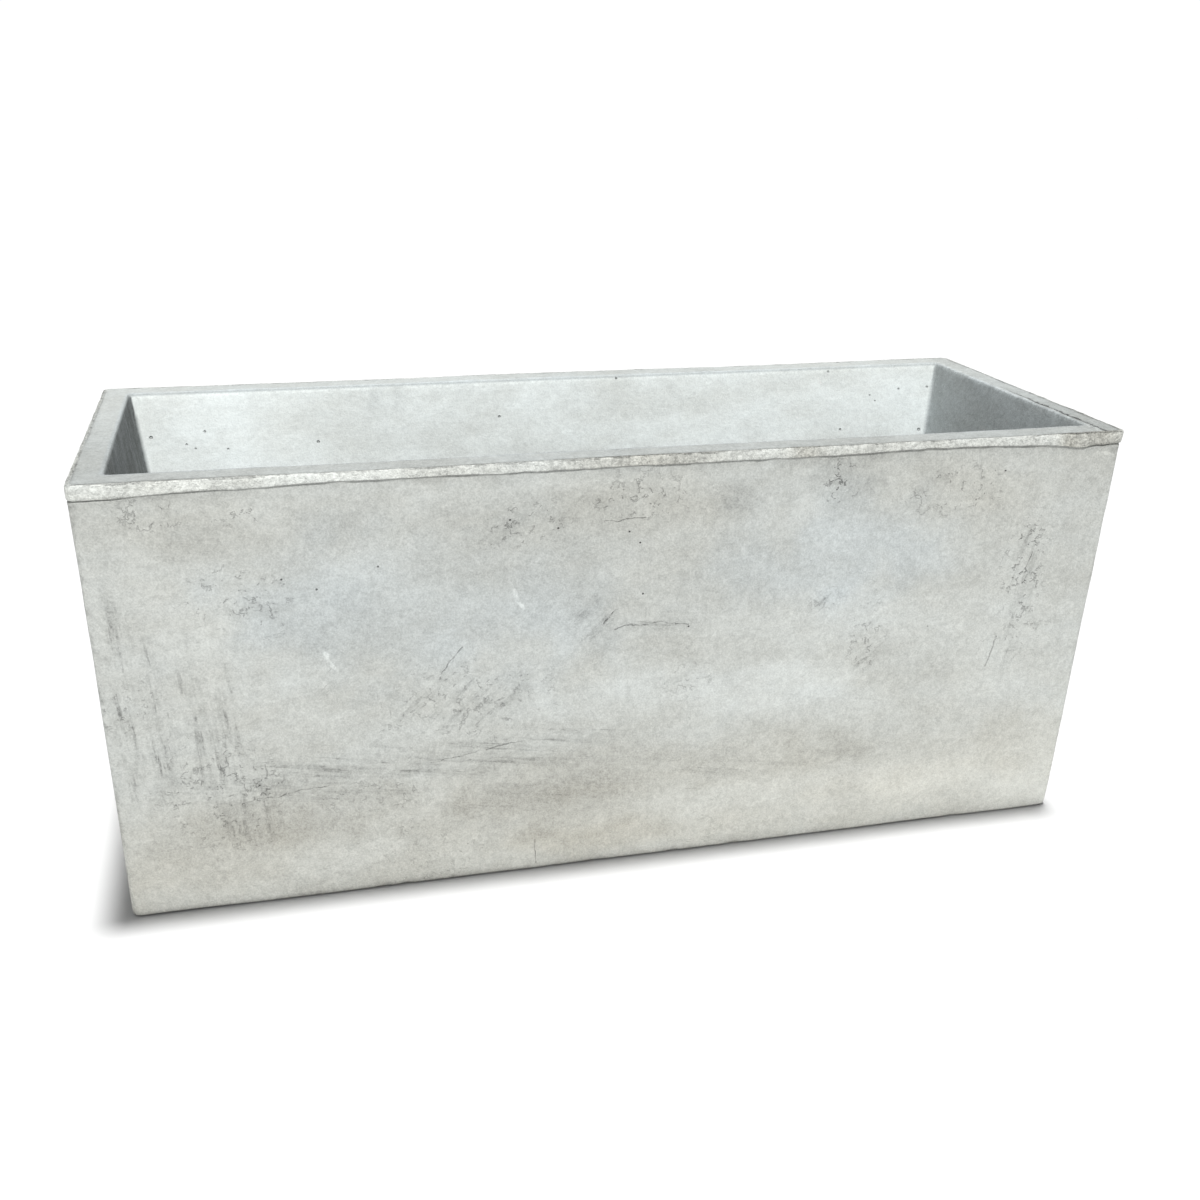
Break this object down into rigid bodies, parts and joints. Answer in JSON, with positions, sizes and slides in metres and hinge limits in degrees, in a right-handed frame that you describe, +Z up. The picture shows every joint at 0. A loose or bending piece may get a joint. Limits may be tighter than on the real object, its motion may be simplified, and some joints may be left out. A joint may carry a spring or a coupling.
{
  "type": "self watering planter",
  "caption": "Tapered concrete planter trough, open at the top, with a water reservoir, slotted soil platform, wick cups, lidded fill shaft, overflow standpipe and float gauge inside.",
  "frame": {"origin": "centre of the footprint, on the ground", "axes": "+X along the trough's length, +Y to its back, +Z up"},
  "size_m": [1, 0.3846, 0.44],
  "materials": {
    "concrete": "cast concrete, matt, trowel worn",
    "liner_plastic": "black recycled polypropylene",
    "platform_plastic": "dark grey moulded polypropylene",
    "cup_plastic": "dark green moulded polypropylene",
    "fitting_plastic": "grey moulded PVC",
    "pipe_plastic": "light grey extruded PVC",
    "cap_plastic": "charcoal moulded polypropylene, fine texture",
    "seal_rubber": "black rubber",
    "clear_plastic": "clear polycarbonate",
    "float_foam": "closed-cell foam",
    "marker_plastic": "red gloss",
    "pin_steel": "stainless pin"
  },
  "bodies": {
    "trough": {"trough_shell": "concrete", "reservoir_tray": "liner_plastic", "drain_socket": "fitting_plastic", "drain_gasket": "seal_rubber", "drain_washer": "seal_rubber", "drain_nut": "fitting_plastic"},
    "standpipe": {"standpipe": "fitting_plastic", "standpipe_seal": "seal_rubber", "overflow_strainer": "cap_plastic", "pull_rod": "fitting_plastic"},
    "platform": {"platform_left": "platform_plastic", "platform_right": "platform_plastic", "joiner_clips": "cap_plastic", "support_legs": "platform_plastic", "fill_shaft": "pipe_plastic", "shaft_collar": "platform_plastic", "lid_ring": "cap_plastic", "lid_pin": "pin_steel", "gauge_cage": "cap_plastic", "gauge_tube": "pipe_plastic", "gauge_sleeve": "cap_plastic", "gauge_window": "clear_plastic"},
    "lid": {"shaft_lid": "cap_plastic"},
    "float": {"gauge_float": "float_foam", "float_rod": "pipe_plastic", "level_marker": "marker_plastic"},
    "cup_1": {"wick_cup_1": "cup_plastic"},
    "cup_2": {"wick_cup_2": "cup_plastic"},
    "cup_3": {"wick_cup_3": "cup_plastic"},
    "cup_4": {"wick_cup_4": "cup_plastic"}
  },
  "joints": [
    {"name": "platform_lift", "type": "slide", "parent": "trough", "child": "platform", "axis": [0, 0, 1], "range_m": [0, 0.41]},
    {"name": "standpipe_lift", "type": "slide", "parent": "trough", "child": "standpipe", "axis": [0, 0, 1], "range_m": [0, 0.02]},
    {"name": "lid_hinge", "type": "hinge", "parent": "platform", "child": "lid", "pos_m": [-0.372, -0.025, 0.3889], "axis": [-1, 0, 0], "range_deg": [0, 105]},
    {"name": "float_rise", "type": "slide", "parent": "platform", "child": "float", "axis": [0, 0, 1], "range_m": [0, 0.055]},
    {"name": "cup_1_lift", "type": "slide", "parent": "platform", "child": "cup_1", "axis": [0, 0, 1], "range_m": [0, 0.4]},
    {"name": "cup_2_lift", "type": "slide", "parent": "platform", "child": "cup_2", "axis": [0, 0, 1], "range_m": [0, 0.4]},
    {"name": "cup_3_lift", "type": "slide", "parent": "platform", "child": "cup_3", "axis": [0, 0, 1], "range_m": [0, 0.4]},
    {"name": "cup_4_lift", "type": "slide", "parent": "platform", "child": "cup_4", "axis": [0, 0, 1], "range_m": [0, 0.4]}
  ]
}
